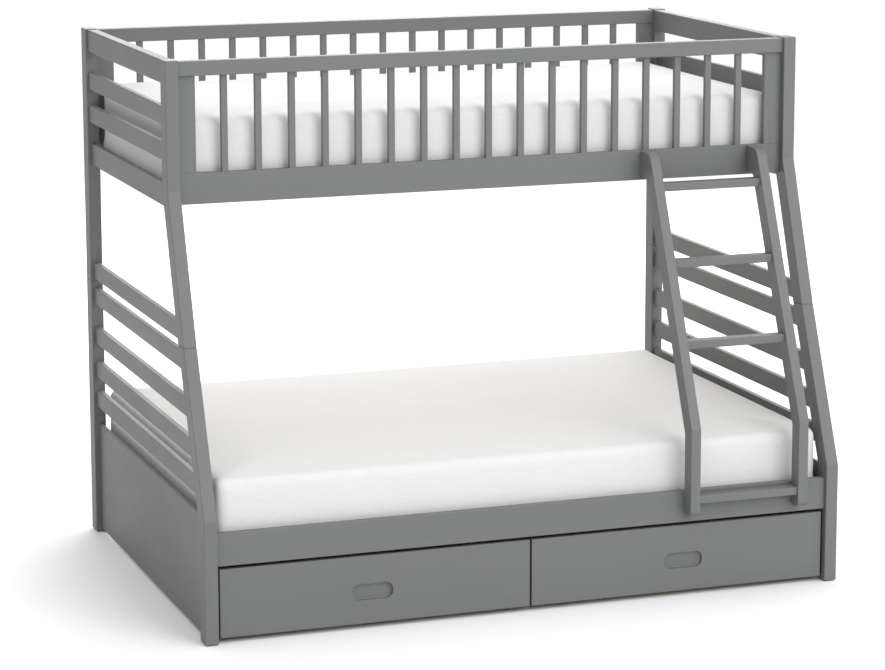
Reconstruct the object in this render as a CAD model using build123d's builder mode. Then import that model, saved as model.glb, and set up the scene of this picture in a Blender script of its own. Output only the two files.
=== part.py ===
"""Bunk bed with a narrow bed over a wide bed, a leaning ladder and two rolling drawers underneath.

All sizes are millimetres.  X runs along the bed, +X towards the ladder; the open front faces -Y and
+Z is up.  The origin is on the floor, under the middle of the bounding box.  Distances in the depth
direction are given as "how far forward of the rear plane", and at() turns them into a Y value.
"""

import math
import os

from build123d import *

# ---------------------------------------------------------------- overall size
LENGTH = 2020
HEIGHT = 1658
FRONT_OF_LADDER = 1456
FRONT_OF_LOWER_BED = 1420
FRONT_OF_UPPER_BED = 1070
SPLIT_Z = 840

# ---------------------------------------------------------------- posts and legs
POST_WIDTH = 40
POST_DEPTH = 60
SLANT_DEPTH = 64
UPPER_BEND_Z = 1276
LOWER_BEND_Z = 369
FRONT_OF_SPLIT = 1226
BEND_RADIUS = 25
POST_EDGE = 3
SPLIT_CHAMFER = 1.8
GLIDE_THICKNESS = 3
GLIDE_SIZE = 30

# ---------------------------------------------------------------- boards between the posts
BOARD_EDGE = 2
HOUSING = 10
END_TOP_RAIL_Z = (1585, 1655)
END_TOP_RAIL_THICKNESS = 32
END_TOP_RAIL_TENON = (16, 46, 20)
UPPER_END_SLATS_Z = ((1464, 1519), (1358, 1413))
UPPER_END_SLAT_INSET = 8
UPPER_END_RAIL_Z = (1219, 1289)
UPPER_END_RAIL_INSET = 14
LOWER_END_SLATS_Z = ((764, 818), (633, 688), (522, 576), (423, 479))
JOINING_SLAT_Z = (847, 901)
LOWER_END_SLAT_INSET = 12
END_BOARD_THICKNESS = 18
END_PANEL_Z = (12, 364)
END_PANEL_INSET = 19
END_PANEL_THICKNESS = 12

# ---------------------------------------------------------------- guards of the upper bed
GUARD_RAIL_Z = (1610, 1654)
GUARD_RAIL_INSET = 12
GUARD_RAIL_THICKNESS = 36
GUARD_STILE_WIDTH = 55
UPPER_SIDE_RAIL_Z = (1231, 1324)
UPPER_SIDE_RAIL_INSET = 24
UPPER_SIDE_RAIL_THICKNESS = 20
GUARD_SLATS = 17
GUARD_SLAT_PITCH = 103.4
GUARD_SLAT_WIDTH = 20
GUARD_SLAT_THICKNESS = 16
GUARD_TENON = (14, 10, 10)

# ---------------------------------------------------------------- side rails of the lower bed
LOWER_SIDE_RAIL_Z = (231, 329)
LOWER_SIDE_RAIL_INSET = 14
LOWER_SIDE_RAIL_THICKNESS = 22

# ---------------------------------------------------------------- bed slats and mattresses
BED_SLATS = 13
BED_SLAT_PITCH = 148
BED_SLAT_WIDTH = 70
BED_SLAT_THICKNESS = 18
CLEAT_WIDTH = 22
CLEAT_HEIGHT = 24
CLEAT_END_GAP = 4
UPPER_SLAT_TOP_Z = 1275
LOWER_SLAT_TOP_Z = 275
MATTRESS_LENGTH = 1939
MATTRESS_HEIGHT = 210
MATTRESS_GAP = 4
MATTRESS_EDGE = 45
CENTRE_BEAM = (40, 66)
CENTRE_BEAM_LENGTH = 1900
CENTRE_BEAM_PLACE = 706
CENTRE_BEAM_LEGS_X = (-620, 0, 620)

# ---------------------------------------------------------------- ladder
LADDER_STILES_X = ((497, 529), (856, 888))
LADDER_FOOT_Z = 258
LADDER_BEND_Z = 527
LADDER_FOOT_DEPTH = 50
LADDER_SLOPE = 0.425
LADDER_SLANT_DEPTH = 59
LADDER_TOP_Z = 1322
LADDER_HEAD_BOTTOM_Z = 1240
LADDER_TOP_RADIUS = 40
LADDER_NECK_RADIUS = 16
LADDER_FOOT_RADIUS = 18
TREADS_TOP_Z = (319, 776, 1009, 1232)
TREAD_THICKNESS = 25
TREAD_DEPTH = 40
TREAD_SETBACK = 8
TREAD_EDGE = 3

# ---------------------------------------------------------------- fasteners
BOLT_RADIUS = 3
BOLT_BORE_RADIUS = 3.2
BOLT_HEAD_RADIUS = 7
BOLT_HEAD_HEIGHT = 4
BOLT_REACH = 88
BARREL_NUT_RADIUS = 5
BARREL_NUT_PLACE = 35
LOWER_BOLTS_Z = (240, 280)
UPPER_BOLTS_Z = (1260, 1302)
PIN_RADIUS = 5
PIN_LENGTH = 60
LADDER_BOLT_REACH = 52
LADDER_BOLTS_Z = (290, 1290)
SCREW_RADIUS = 2
SCREW_HEAD_RADIUS = 4
SCREW_LENGTH = 32

# ---------------------------------------------------------------- drawers
DRAWER_FRONT_X = ((-962, -3), (3, 962))
DRAWER_FRONT_Z = (16, 221)
DRAWER_FRONT_INSET = 16
DRAWER_FRONT_THICKNESS = 18
DRAWER_BOX_MARGIN = 14
DRAWER_BOX_Z = (30, 190)
DRAWER_BOX_DEPTH = 620
DRAWER_BOARD = 15
DRAWER_BOTTOM_Z = (52, 58)
DRAWER_GROOVE = 6
PULL_WIDTH = 125
PULL_HEIGHT = 48
PULL_RADIUS = 21
PULL_DEPTH = 12
PULL_Z = 111
PULL_SHIFT = 15
WHEEL_RADIUS = 20
WHEEL_WIDTH = 16
WHEEL_BORE = 3.08
WHEEL_SIDE_GAP = 0.75
AXLE_RADIUS = 3
AXLE_CHAMFER = 0.5
FORK_CHEEK = 3
FORK_CORNER = 8
FORK_LENGTH = 46
FORK_Z = (13, 52)
FORK_SLOT_TOP_Z = 45
WHEEL_END_MARGIN = 70

HALF_LENGTH = LENGTH / 2
INNER_X = HALF_LENGTH - POST_WIDTH
REAR_Y = FRONT_OF_LADDER / 2
SIDES = {"left": -1, "right": 1}


# ================================================================ helpers
def at(forward):
    """Y of the plane that lies this far forward of the rear plane."""
    return REAR_Y - forward


def board(x_span, forward_span, z_span, mode=Mode.ADD):
    """Add or cut one rectangular board in the part that is being built."""
    middle_y = at(sum(forward_span) / 2)
    with Locations((sum(x_span) / 2, middle_y, sum(z_span) / 2)):
        Box(x_span[1] - x_span[0], forward_span[1] - forward_span[0], z_span[1] - z_span[0], mode=mode)


def end_span(side, inset, thickness):
    """X span of a board in the left (-1) or right (+1) end, set in from the outer face."""
    outer = side * (HALF_LENGTH - inset)
    inner = side * (HALF_LENGTH - inset - thickness)
    return (min(outer, inner), max(outer, inner))


def rod(start, end, radius, mode=Mode.ADD):
    """Add or cut one round rod between two points on a line along X, Y or Z."""
    path = Vector(*end) - Vector(*start)
    with Locations(Plane(origin=start, z_dir=path)):
        Cylinder(radius, path.length, align=(Align.CENTER, Align.CENTER, Align.MIN), mode=mode)


def leg_front(z):
    """How far forward the front face of a front leg is at height z."""
    upper_slope = (FRONT_OF_SPLIT - FRONT_OF_UPPER_BED) / (UPPER_BEND_Z - SPLIT_Z)
    lower_slope = (FRONT_OF_LOWER_BED - FRONT_OF_SPLIT) / (SPLIT_Z - LOWER_BEND_Z)
    if z >= SPLIT_Z:
        return FRONT_OF_UPPER_BED + upper_slope * max(UPPER_BEND_Z - z, 0)
    return min(FRONT_OF_SPLIT + lower_slope * (SPLIT_Z - z), FRONT_OF_LOWER_BED)


def leg_back(z):
    """How far forward the back face of a front leg is at height z, near enough for a housing."""
    if z >= UPPER_BEND_Z or z <= LOWER_BEND_Z:
        return leg_front(z) - POST_DEPTH
    return leg_front(z) - SLANT_DEPTH


def ladder_front(z):
    """How far forward the front edge of a ladder stile is at height z."""
    return FRONT_OF_LADDER - LADDER_SLOPE * max(z - LADDER_BEND_Z, 0)


def finish(piece, name):
    """Label one finished piece and write its STEP file."""
    piece.part.label = name
    export_step(piece.part, f"parts/{name}.step")


# ================================================================ boards of the two ends
def end_boards(side, spans_z, inset, thickness):
    """Horizontal boards of one end, housed in the rear post and in the front leg."""
    x_span = end_span(side, inset, thickness)
    with BuildPart() as boards:
        for low, high in spans_z:
            with BuildSketch(Plane.YZ.offset(x_span[0])):
                with BuildLine():
                    Polyline(
                        (at(POST_DEPTH - HOUSING), low),
                        (at(leg_back(low) + HOUSING), low),
                        (at(leg_back(high) + HOUSING), high),
                        (at(POST_DEPTH - HOUSING), high),
                        close=True,
                    )
                make_face()
            extrude(amount=thickness)
        fillet(boards.edges().filter_by(Axis.Y), BOARD_EDGE)
    return boards


def end_top_rail(side):
    """Thick top rail of one end, with a tenon at each end."""
    tenon_thickness, tenon_height, tenon_length = END_TOP_RAIL_TENON
    inset = POST_WIDTH - END_TOP_RAIL_THICKNESS
    x_span = end_span(side, inset, END_TOP_RAIL_THICKNESS)
    tenon_x = end_span(side, POST_WIDTH / 2 - tenon_thickness / 2, tenon_thickness)
    middle_z = sum(END_TOP_RAIL_Z) / 2
    tenon_z = (middle_z - tenon_height / 2, middle_z + tenon_height / 2)
    front = FRONT_OF_UPPER_BED - POST_DEPTH
    with BuildPart() as rail:
        board(x_span, (POST_DEPTH, front), END_TOP_RAIL_Z)
        fillet(rail.edges().filter_by(Axis.Y), POST_EDGE)
        board(tenon_x, (POST_DEPTH - tenon_length, front + tenon_length), tenon_z)
    return rail


def end_panel(side):
    """Plain panel that closes one end below the lower mattress."""
    x_span = end_span(side, END_PANEL_INSET, END_PANEL_THICKNESS)
    front = FRONT_OF_LOWER_BED - POST_DEPTH + HOUSING
    with BuildPart() as panel:
        board(x_span, (POST_DEPTH - HOUSING, front), END_PANEL_Z)
        fillet(panel.edges().filter_by(Axis.Y), BOARD_EDGE)
    return panel


# ================================================================ rails between the two ends
def side_rail(forward_span, z_span, bolts_z):
    """Side rail with bores for two connector bolts and their barrel nuts at each end."""
    middle = at(sum(forward_span) / 2)
    with BuildPart() as rail:
        board((-INNER_X, INNER_X), forward_span, z_span)
        fillet(rail.edges().filter_by(Axis.X), BOARD_EDGE)
        for side in SIDES.values():
            for z in bolts_z:
                deep = side * (HALF_LENGTH - BOLT_REACH - 2)
                nut_x = side * (INNER_X - BARREL_NUT_PLACE)
                rod((side * INNER_X, middle, z), (deep, middle, z), BOLT_BORE_RADIUS, Mode.SUBTRACT)
                nut_ends = ((nut_x, at(forward_span[0]), z), (nut_x, at(forward_span[1]) + 2, z))
                rod(*nut_ends, BARREL_NUT_RADIUS, Mode.SUBTRACT)
    return rail


def mirrored(forward_span):
    """The same span at the back of the upper bed, where the rear guard mirrors the front one."""
    return (FRONT_OF_UPPER_BED - forward_span[1], FRONT_OF_UPPER_BED - forward_span[0])


def upper_span(inset, thickness):
    """Depth span of a board of the front guard, set in from the leg's front face."""
    return (FRONT_OF_UPPER_BED - inset - thickness, FRONT_OF_UPPER_BED - inset)


def slat_places():
    """X of the middle of each guard slat."""
    first = -GUARD_SLAT_PITCH * (GUARD_SLATS - 1) / 2
    return [first + GUARD_SLAT_PITCH * index for index in range(GUARD_SLATS)]


def guard_slats(forward_spans):
    """Upright slats of both guards, with a short tenon top and bottom."""
    tenon_width, tenon_thickness, tenon_length = GUARD_TENON
    low, high = UPPER_SIDE_RAIL_Z[1], GUARD_RAIL_Z[0]
    places = [(x, sum(span) / 2) for span in forward_spans for x in slat_places()]
    with BuildPart() as slats:
        for x, middle in places:
            body = (middle - GUARD_SLAT_THICKNESS / 2, middle + GUARD_SLAT_THICKNESS / 2)
            board((x - GUARD_SLAT_WIDTH / 2, x + GUARD_SLAT_WIDTH / 2), body, (low, high))
        fillet(slats.edges().filter_by(Axis.Z), BOARD_EDGE)
        for x, middle in places:
            tenon_x = (x - tenon_width / 2, x + tenon_width / 2)
            tenon = (middle - tenon_thickness / 2, middle + tenon_thickness / 2)
            board(tenon_x, tenon, (low - tenon_length, high + tenon_length))
    return slats


def guard_stiles(forward_spans):
    """The wide upright at each end of both guards, against the posts."""
    with BuildPart() as stiles:
        for span in forward_spans:
            for side in SIDES.values():
                x_span = sorted((side * INNER_X, side * (INNER_X - GUARD_STILE_WIDTH)))
                board(x_span, span, (UPPER_SIDE_RAIL_Z[1], GUARD_RAIL_Z[0]))
        upright_edges = stiles.edges().filter_by(Axis.Z)
        fillet(upright_edges.filter_by_position(Axis.X, -INNER_X + 1, INNER_X - 1), BOARD_EDGE)
    return stiles


def guard_top_rail(forward_span):
    """Top rail of one guard."""
    with BuildPart() as rail:
        board((-INNER_X, INNER_X), forward_span, GUARD_RAIL_Z)
        fillet(rail.edges().filter_by(Axis.X), POST_EDGE)
    return rail


# ================================================================ posts and legs
def front_leg_outline(upper):
    """Outline of an upper or lower front leg in the YZ plane, bent where it meets the slope."""
    slant_back = FRONT_OF_SPLIT - SLANT_DEPTH
    if upper:
        straight_front, straight_back = FRONT_OF_UPPER_BED, FRONT_OF_UPPER_BED - POST_DEPTH
        end_z, bend_z = HEIGHT, UPPER_BEND_Z
    else:
        straight_front, straight_back = FRONT_OF_LOWER_BED, FRONT_OF_LOWER_BED - POST_DEPTH
        end_z, bend_z = GLIDE_THICKNESS, LOWER_BEND_Z
    slope = (FRONT_OF_SPLIT - straight_front) / (bend_z - SPLIT_Z)
    back_bend_z = SPLIT_Z + (slant_back - straight_back) / slope
    return [
        (at(straight_front), end_z),
        (at(straight_front), bend_z),
        (at(FRONT_OF_SPLIT), SPLIT_Z),
        (at(slant_back), SPLIT_Z),
        (at(straight_back), back_bend_z),
        (at(straight_back), end_z),
    ]


def front_leg(side, upper, housed):
    """One half of a front leg, with the housings of the boards that enter it."""
    x_span = end_span(side, 0, POST_WIDTH)
    outline = front_leg_outline(upper)
    with BuildPart() as leg:
        with BuildSketch(Plane.YZ.offset(x_span[0])) as profile:
            with BuildLine():
                Polyline(*outline, close=True)
            make_face()
            bends = profile.vertices().filter_by(
                lambda corner: corner.Y not in (SPLIT_Z, HEIGHT, GLIDE_THICKNESS)
            )
            fillet(bends, BEND_RADIUS)
        extrude(amount=POST_WIDTH)
        split_edges = leg.faces().filter_by_position(Axis.Z, SPLIT_Z - 0.1, SPLIT_Z + 0.1).edges()
        fillet(leg.edges() - split_edges, POST_EDGE)
        joint_face = leg.faces().filter_by_position(Axis.Z, SPLIT_Z - 0.1, SPLIT_Z + 0.1)
        chamfer(joint_face.edges(), SPLIT_CHAMFER)
        cut_post_joints(side, upper, FRONT_OF_SPLIT - SLANT_DEPTH / 2, housed)
    return leg


def rear_post(side, upper, housed):
    """One half of a rear post."""
    z_span = (SPLIT_Z, HEIGHT) if upper else (GLIDE_THICKNESS, SPLIT_Z)
    with BuildPart() as post:
        board(end_span(side, 0, POST_WIDTH), (0, POST_DEPTH), z_span)
        split_edges = post.faces().filter_by_position(Axis.Z, SPLIT_Z - 0.1, SPLIT_Z + 0.1).edges()
        fillet(post.edges() - split_edges, POST_EDGE)
        joint_face = post.faces().filter_by_position(Axis.Z, SPLIT_Z - 0.1, SPLIT_Z + 0.1)
        chamfer(joint_face.edges(), SPLIT_CHAMFER)
        cut_post_joints(side, upper, POST_DEPTH / 2, housed)
    return post


def cut_post_joints(side, upper, pin_place, housed):
    """Cut the joining pin's bore, the bolt bores and the housings in the post being built."""
    pin_x = side * (HALF_LENGTH - POST_WIDTH / 2)
    way = 1 if upper else -1
    pin_end = SPLIT_Z + way * (PIN_LENGTH / 2 + 1)
    rod((pin_x, at(pin_place), SPLIT_Z), (pin_x, at(pin_place), pin_end), PIN_RADIUS, Mode.SUBTRACT)
    rear = pin_place < FRONT_OF_UPPER_BED / 2
    for forward, z in bolt_places(upper, rear):
        outer = side * HALF_LENGTH
        seat = side * (HALF_LENGTH - BOLT_HEAD_HEIGHT)
        rod((outer, at(forward), z), (seat, at(forward), z), BOLT_HEAD_RADIUS, Mode.SUBTRACT)
        inner = (side * INNER_X, at(forward), z)
        rod((outer, at(forward), z), inner, BOLT_BORE_RADIUS, Mode.SUBTRACT)
    for piece in housed:
        add(piece.part, mode=Mode.SUBTRACT)


def bolt_places(upper, rear):
    """Depth and height of the two connector bolts in one post."""
    if upper:
        forward = sum(upper_span(UPPER_SIDE_RAIL_INSET, UPPER_SIDE_RAIL_THICKNESS)) / 2
        forward = FRONT_OF_UPPER_BED - forward if rear else forward
        return [(forward, z) for z in UPPER_BOLTS_Z]
    inset = LOWER_SIDE_RAIL_INSET + LOWER_SIDE_RAIL_THICKNESS / 2
    forward = inset if rear else FRONT_OF_LOWER_BED - inset
    return [(forward, z) for z in LOWER_BOLTS_Z]


# ================================================================ bed slats, beam and mattresses
def slat_cleats(all_beds):
    """The batten along the inside of each side rail that carries the slats."""
    x_span = (-INNER_X + CLEAT_END_GAP, INNER_X - CLEAT_END_GAP)
    with BuildPart() as battens:
        for rear_span, front_span, slat_top_z in all_beds:
            top = slat_top_z - BED_SLAT_THICKNESS
            z_span = (top - CLEAT_HEIGHT, top)
            board(x_span, (rear_span[1], rear_span[1] + CLEAT_WIDTH), z_span)
            board(x_span, (front_span[0] - CLEAT_WIDTH, front_span[0]), z_span)
        fillet(battens.edges().filter_by(Axis.X), BOARD_EDGE)
        for rear_span, front_span, slat_top_z in all_beds:
            for x, y in slat_screw_places(rear_span, front_span):
                top = (x, y, slat_top_z - BED_SLAT_THICKNESS)
                rod(top, (x, y, slat_top_z - SCREW_LENGTH - 1), SCREW_RADIUS, Mode.SUBTRACT)
    return battens


def bed_slat_places():
    """X of the middle of each bed slat."""
    first = -BED_SLAT_PITCH * (BED_SLATS - 1) / 2
    return [first + BED_SLAT_PITCH * index for index in range(BED_SLATS)]


def slat_screw_places(rear_span, front_span):
    """X and Y of the screws that hold the first and the last slat of one bed."""
    places = bed_slat_places()
    rear_y = at(rear_span[1] + CLEAT_WIDTH / 2)
    front_y = at(front_span[0] - CLEAT_WIDTH / 2)
    return [(x, y) for x in (places[0], places[-1]) for y in (rear_y, front_y)]


def bed_slats(rear_span, front_span, slat_top_z):
    """The slats across one bed."""
    forward = (rear_span[1] + 2, front_span[0] - 2)
    z_span = (slat_top_z - BED_SLAT_THICKNESS, slat_top_z)
    with BuildPart() as slats:
        for x in bed_slat_places():
            board((x - BED_SLAT_WIDTH / 2, x + BED_SLAT_WIDTH / 2), forward, z_span)
        fillet(slats.edges().filter_by(Axis.Y), BOARD_EDGE)
        for x, y in slat_screw_places(rear_span, front_span):
            rod((x, y, slat_top_z), (x, y, z_span[0]), SCREW_RADIUS, Mode.SUBTRACT)
            head_seat = slat_top_z - SCREW_HEAD_RADIUS / 2
            rod((x, y, slat_top_z), (x, y, head_seat), SCREW_HEAD_RADIUS, Mode.SUBTRACT)
    return slats


def mattress(rear_span, front_span, slat_top_z):
    """A plain closed block of the mattress's size, with rounded edges."""
    forward = (rear_span[1] + MATTRESS_GAP, front_span[0] - MATTRESS_GAP)
    z_span = (slat_top_z, slat_top_z + MATTRESS_HEIGHT)
    with BuildPart() as block:
        board((-MATTRESS_LENGTH / 2, MATTRESS_LENGTH / 2), forward, z_span)
        fillet(block.edges(), MATTRESS_EDGE)
    return block


# ================================================================ ladder
def ladder_stile(x_span, rail_front, treads):
    """One ladder stile: upright foot, leaning middle and a rounded head against the upper rail."""
    back_slope_start = LADDER_BEND_Z - (LADDER_SLANT_DEPTH - LADDER_FOOT_DEPTH) / LADDER_SLOPE
    foot_back = FRONT_OF_LADDER - LADDER_FOOT_DEPTH
    neck_back = ladder_front(LADDER_HEAD_BOTTOM_Z) - LADDER_SLANT_DEPTH
    top_front = ladder_front(LADDER_TOP_Z)
    with BuildPart() as stile:
        with BuildSketch(Plane.YZ.offset(x_span[0])) as profile:
            with BuildLine():
                Polyline(
                    (at(foot_back), LADDER_FOOT_Z),
                    (at(FRONT_OF_LADDER), LADDER_FOOT_Z),
                    (at(FRONT_OF_LADDER), LADDER_BEND_Z),
                    (at(top_front), LADDER_TOP_Z),
                    (at(rail_front), LADDER_TOP_Z),
                    (at(rail_front), LADDER_HEAD_BOTTOM_Z),
                    (at(neck_back), LADDER_HEAD_BOTTOM_Z),
                    (at(foot_back), back_slope_start),
                    close=True,
                )
            make_face()
            for height, radius in (
                (LADDER_TOP_Z, LADDER_TOP_RADIUS),
                (LADDER_HEAD_BOTTOM_Z, LADDER_NECK_RADIUS),
                (LADDER_FOOT_Z, LADDER_FOOT_RADIUS),
            ):
                corners = profile.vertices().filter_by(lambda corner: corner.Y == height)
                fillet(corners.sort_by(Axis.X)[0], radius)
        extrude(amount=x_span[1] - x_span[0])
        side_faces = stile.faces().filter_by(Axis.X)
        fillet(side_faces.edges(), BOARD_EDGE)
        middle_x = sum(x_span) / 2
        for z in LADDER_BOLTS_Z:
            rod(*ladder_bolt_line(middle_x, z, rail_front), BOLT_BORE_RADIUS, Mode.SUBTRACT)
        add(treads.part, mode=Mode.SUBTRACT)
    return stile


def ladder_bolt_line(x, z, upper_rail_front):
    """Start, at the rail's inner face, and end of the bolt that holds a stile at height z."""
    if z > SPLIT_Z:
        start = upper_rail_front - UPPER_SIDE_RAIL_THICKNESS
    else:
        start = FRONT_OF_LOWER_BED - LOWER_SIDE_RAIL_INSET - LOWER_SIDE_RAIL_THICKNESS
    return (x, at(start), z), (x, at(start + LADDER_BOLT_REACH + 1), z)


def ladder_treads():
    """The four treads, level, let into the two stiles."""
    x_span = (LADDER_STILES_X[0][1] - HOUSING, LADDER_STILES_X[1][0] + HOUSING)
    with BuildPart() as treads:
        for top in TREADS_TOP_Z:
            front = ladder_front(top) - TREAD_SETBACK
            board(x_span, (front - TREAD_DEPTH, front), (top - TREAD_THICKNESS, top))
        fillet(treads.edges().filter_by(Axis.X), TREAD_EDGE)
    return treads


# ================================================================ fasteners
def frame_bolts():
    """The connector bolts: two through each post into each side rail."""
    with BuildPart() as bolts:
        for side in SIDES.values():
            for upper in (True, False):
                for rear in (True, False):
                    for forward, z in bolt_places(upper, rear):
                        outer = side * HALF_LENGTH
                        under_head = side * (HALF_LENGTH - BOLT_HEAD_HEIGHT)
                        tip = side * (HALF_LENGTH - BOLT_REACH)
                        y = at(forward)
                        rod((outer - side * 0.5, y, z), (under_head, y, z), BOLT_HEAD_RADIUS - 0.2)
                        rod((under_head, y, z), (tip, y, z), BOLT_RADIUS)
    return bolts


def barrel_nuts():
    """The barrel nut of each connector bolt, sunk crosswise in the side rails."""
    with BuildPart() as nuts:
        for side in SIDES.values():
            for upper in (True, False):
                thickness = UPPER_SIDE_RAIL_THICKNESS if upper else LOWER_SIDE_RAIL_THICKNESS
                for rear in (True, False):
                    for forward, z in bolt_places(upper, rear):
                        x = side * (INNER_X - BARREL_NUT_PLACE)
                        half = thickness / 2 - 3
                        ends = ((x, at(forward + half), z), (x, at(forward - half), z))
                        rod(*ends, BARREL_NUT_RADIUS - 0.1)
                        bore = ((x - 8, at(forward), z), (x + 8, at(forward), z))
                        rod(*bore, BOLT_RADIUS + 0.05, Mode.SUBTRACT)
    return nuts


def joining_pins():
    """The steel pins that locate the upper bed on the lower bed."""
    with BuildPart() as pins:
        for side in SIDES.values():
            for forward in (POST_DEPTH / 2, FRONT_OF_SPLIT - SLANT_DEPTH / 2):
                x = side * (HALF_LENGTH - POST_WIDTH / 2)
                low = (x, at(forward), SPLIT_Z - PIN_LENGTH / 2)
                rod(low, (x, at(forward), SPLIT_Z + PIN_LENGTH / 2), PIN_RADIUS - 0.1)
        chamfer(pins.edges().filter_by(GeomType.CIRCLE), 1)
    return pins


def ladder_bolts(rail_front):
    """The four bolts that hold the ladder, driven from behind the side rails."""
    with BuildPart() as bolts:
        for x_span in LADDER_STILES_X:
            for z in LADDER_BOLTS_Z:
                start, end = ladder_bolt_line(sum(x_span) / 2, z, rail_front)
                tip = (end[0], end[1] + 1, end[2])
                seat = (start[0], start[1] - BOLT_HEAD_HEIGHT, start[2])
                rod((start[0], start[1] - 0.5, start[2]), seat, BOLT_HEAD_RADIUS - 0.2)
                rod(seat, tip, BOLT_RADIUS)
    return bolts


def slat_screws(beds):
    """The countersunk screws that hold the first and the last slat of each bed."""
    with BuildPart() as screws:
        for rear_span, front_span, top in beds:
            for x, y in slat_screw_places(rear_span, front_span):
                seat = top - SCREW_HEAD_RADIUS / 2
                rod((x, y, top - 0.2), (x, y, seat), SCREW_HEAD_RADIUS - 0.1)
                rod((x, y, seat), (x, y, top - SCREW_LENGTH), SCREW_RADIUS - 0.05)
    return screws


def foot_glides():
    """The thin plastic glide under each post and under each leg of the centre beam."""
    feet = [(side * (HALF_LENGTH - POST_WIDTH / 2), POST_DEPTH / 2) for side in SIDES.values()]
    front = FRONT_OF_LOWER_BED - POST_DEPTH / 2
    feet += [(side * (HALF_LENGTH - POST_WIDTH / 2), front) for side in SIDES.values()]
    feet += [(x, CENTRE_BEAM_PLACE) for x in CENTRE_BEAM_LEGS_X]
    half = GLIDE_SIZE / 2
    with BuildPart() as glides:
        for x, forward in feet:
            board((x - half, x + half), (forward - half, forward + half), (0, GLIDE_THICKNESS))
        fillet(glides.edges().filter_by(Axis.Z), 4)
    return glides


# ================================================================ drawers
def drawer_spans(front_x):
    """X span of the drawer's box, and the depth span from its back to the back of its front."""
    box_x = (front_x[0] + DRAWER_BOX_MARGIN, front_x[1] - DRAWER_BOX_MARGIN)
    box_front = FRONT_OF_LOWER_BED - DRAWER_FRONT_INSET - DRAWER_FRONT_THICKNESS
    return box_x, (box_front - DRAWER_BOX_DEPTH, box_front)


def drawer_bottom(front_x):
    """Thin bottom, held in grooves all round."""
    box_x, forward = drawer_spans(front_x)
    inside = DRAWER_BOARD - DRAWER_GROOVE
    x_span = (box_x[0] + inside, box_x[1] - inside)
    with BuildPart() as bottom:
        board(x_span, (forward[0] + inside, forward[1] + DRAWER_GROOVE), DRAWER_BOTTOM_Z)
    return bottom


def drawer_front(front_x, bottom):
    """Drawer front with a routed finger pull, a little off its middle, and a groove for the bottom."""
    forward = FRONT_OF_LOWER_BED - DRAWER_FRONT_INSET
    middle_x = sum(front_x) / 2
    pull_x = middle_x + math.copysign(PULL_SHIFT, middle_x)
    with BuildPart() as front:
        board(front_x, (forward - DRAWER_FRONT_THICKNESS, forward), DRAWER_FRONT_Z)
        fillet(front.faces().sort_by(Axis.Y)[0].edges(), BOARD_EDGE)
        with BuildSketch(Plane.XZ.offset(-at(forward))):
            with Locations((pull_x, PULL_Z)):
                RectangleRounded(PULL_WIDTH, PULL_HEIGHT, PULL_RADIUS)
        extrude(amount=-PULL_DEPTH, mode=Mode.SUBTRACT)
        pull_floor = front.faces().filter_by(Axis.Y).sort_by(Axis.Y)[1]
        fillet(pull_floor.edges(), 5)
        rim = front.faces().sort_by(Axis.Y)[0].inner_wires()[0]
        fillet(rim.edges(), BOARD_EDGE)
        add(bottom.part, mode=Mode.SUBTRACT)
    return front


def drawer_sides(front_x, bottom):
    """The two sides of one drawer."""
    box_x, forward = drawer_spans(front_x)
    with BuildPart() as sides:
        board((box_x[0], box_x[0] + DRAWER_BOARD), forward, DRAWER_BOX_Z)
        board((box_x[1] - DRAWER_BOARD, box_x[1]), forward, DRAWER_BOX_Z)
        fillet(sides.edges().filter_by(Axis.Y), BOARD_EDGE)
        add(bottom.part, mode=Mode.SUBTRACT)
    return sides


def drawer_back(front_x, bottom):
    """The back of one drawer, between its sides."""
    box_x, forward = drawer_spans(front_x)
    x_span = (box_x[0] + DRAWER_BOARD, box_x[1] - DRAWER_BOARD)
    with BuildPart() as back:
        board(x_span, (forward[0], forward[0] + DRAWER_BOARD), DRAWER_BOX_Z)
        fillet(back.edges().filter_by(Axis.X), BOARD_EDGE)
        add(bottom.part, mode=Mode.SUBTRACT)
    return back


def wheel_places(front_x):
    """X and depth of the middle of each of one drawer's four wheels, with its name."""
    box_x, forward = drawer_spans(front_x)
    half_fork = WHEEL_WIDTH / 2 + WHEEL_SIDE_GAP + FORK_CHEEK
    left = box_x[0] + DRAWER_BOARD + half_fork
    right = box_x[1] - DRAWER_BOARD - half_fork
    front = forward[1] - WHEEL_END_MARGIN
    back = forward[0] + WHEEL_END_MARGIN
    return {
        "front_left": (left, front),
        "front_right": (right, front),
        "back_left": (left, back),
        "back_right": (right, back),
    }


def caster_forks(front_x):
    """The fork over each wheel, fixed under the bottom, bored for its axle pin."""
    half_slot = WHEEL_WIDTH / 2 + WHEEL_SIDE_GAP
    half_fork = half_slot + FORK_CHEEK
    with BuildPart() as forks:
        for x, forward in wheel_places(front_x).values():
            fork_forward = (forward - FORK_LENGTH / 2, forward + FORK_LENGTH / 2)
            slot_z = (FORK_Z[0], FORK_SLOT_TOP_Z)
            board((x - half_fork, x + half_fork), fork_forward, FORK_Z)
            board((x - half_slot, x + half_slot), fork_forward, slot_z, Mode.SUBTRACT)
        fillet(forks.edges().filter_by(Axis.X).group_by(Axis.Z)[0], FORK_CORNER)
        for ends in axle_lines(front_x):
            rod(*ends, AXLE_RADIUS, Mode.SUBTRACT)
    return forks


def axle_lines(front_x):
    """Start and end of each of one drawer's four axle pins."""
    half_fork = WHEEL_WIDTH / 2 + WHEEL_SIDE_GAP + FORK_CHEEK
    places = wheel_places(front_x).values()
    return [
        ((x - half_fork, at(forward), WHEEL_RADIUS), (x + half_fork, at(forward), WHEEL_RADIUS))
        for x, forward in places
    ]


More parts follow.
